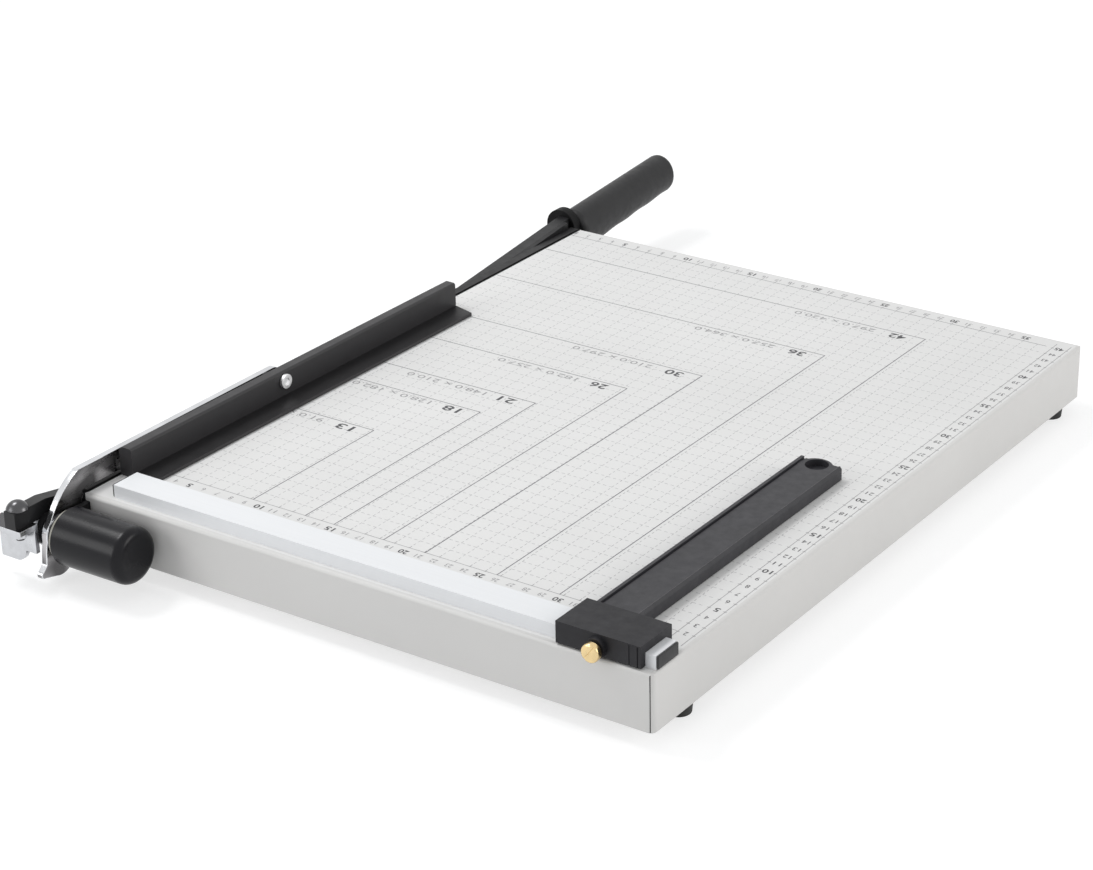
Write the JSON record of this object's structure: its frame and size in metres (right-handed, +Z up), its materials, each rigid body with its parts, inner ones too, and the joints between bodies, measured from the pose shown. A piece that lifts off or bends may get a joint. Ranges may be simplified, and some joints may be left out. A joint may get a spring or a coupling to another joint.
{
  "type": "guillotine paper cutter",
  "caption": "Guillotine paper cutter: low steel table, hinged side blade with a long handle, pressing guard, front fence and a sliding paper gauge.",
  "frame": {"origin": "Middle of the bounding box in plan, on the plane that the rubber feet stand on, with the arm down.", "axes": "+Z up; +Y from the pivot end towards the handle end, along the blade; +X from the blade towards the gauge side."},
  "size_m": [0.4116, 0.654, 0.0618],
  "materials": {
    "table_paint": "warm light grey satin paint",
    "knife_steel": "dark ground steel",
    "zinc_parts": "bright zinc plate",
    "white_aluminium": "white anodised, satin",
    "black_plastic": "matte black",
    "foot_rubber": "dark grey rubber",
    "cream_plastic": "cream, low friction",
    "spring_steel": "spring wire",
    "gloss_black": "gloss black",
    "arm_paint": "dark grey satin paint",
    "zinc_plate": "pale zinc plate",
    "grip_plastic": "satin black, fine grain",
    "chrome_lever": "bright chrome",
    "guard_paint": "black satin paint",
    "gauge_plastic": "satin charcoal",
    "brass_parts": "plain brass"
  },
  "bodies": {
    "table": {"base_tray": "table_paint", "cross_braces": "table_paint", "bed_knife": "knife_steel", "bed_knife_screws": "zinc_parts", "bed_knife_nuts": "zinc_parts", "hinge_lug": "table_paint", "hinge_lug_bolts": "zinc_parts", "hinge_lug_nuts": "zinc_parts", "fence_rail": "white_aluminium", "fence_cap_left": "black_plastic", "fence_cap_right": "black_plastic", "fence_screws": "zinc_parts", "rubber_feet": "foot_rubber", "foot_screws": "zinc_parts", "foot_nuts": "zinc_parts", "thrust_washers": "cream_plastic", "lever_washer": "zinc_parts", "pivot_spring": "spring_steel", "spring_cover": "gloss_black"},
    "blade_arm": {"cutting_blade": "knife_steel", "blade_screws": "zinc_parts", "arm_bar": "arm_paint", "pivot_bolt": "zinc_parts", "blade_washers": "zinc_parts", "pivot_nut": "zinc_parts", "spring_washer": "zinc_parts", "heel_plate": "zinc_plate", "heel_bolt": "zinc_parts", "heel_nut": "zinc_parts", "handle_flange": "black_plastic", "handle_grip": "grip_plastic", "handle_screw": "zinc_parts"},
    "lever": {"guard_lever": "chrome_lever", "guard_spacer": "zinc_parts", "guard_screw": "zinc_parts"},
    "guard_bar": {"guard": "guard_paint"},
    "gauge": {"gauge_head": "gauge_plastic", "gauge_arm": "gauge_plastic", "gauge_arm_screws": "zinc_parts", "gauge_pad": "brass_parts"},
    "thumbscrew": {"gauge_thumbscrew": "brass_parts"}
  },
  "joints": [
    {"name": "arm_hinge", "type": "hinge", "parent": "table", "child": "blade_arm", "pos_m": [-0.18, -0.303, 0.0274], "axis": [1, 0, 0], "range_deg": [0, 60]},
    {"name": "lever_hinge", "type": "hinge", "parent": "table", "child": "lever", "pos_m": [-0.1742, -0.303, 0.0274], "axis": [1, 0, 0], "range_deg": [0, 6]},
    {"name": "guard_rocker", "type": "hinge", "parent": "lever", "child": "guard_bar", "pos_m": [-0.16, -0.1245, 0.0555], "axis": [1, 0, 0], "range_deg": [-6, 0]},
    {"name": "gauge_slide", "type": "slide", "parent": "table", "child": "gauge", "axis": [1, 0, 0], "range_m": [-0.285, 0.006]},
    {"name": "thumbscrew_turn", "type": "hinge", "parent": "gauge", "child": "thumbscrew", "pos_m": [0.1728, -0.289, 0.0492], "axis": [0, 1, 0], "range_deg": [0, 270]}
  ],
  "couplings": [
    {"joint": "lever_hinge", "follows": "arm_hinge", "ratio": 0.1},
    {"joint": "guard_rocker", "follows": "arm_hinge", "ratio": -0.1}
  ]
}
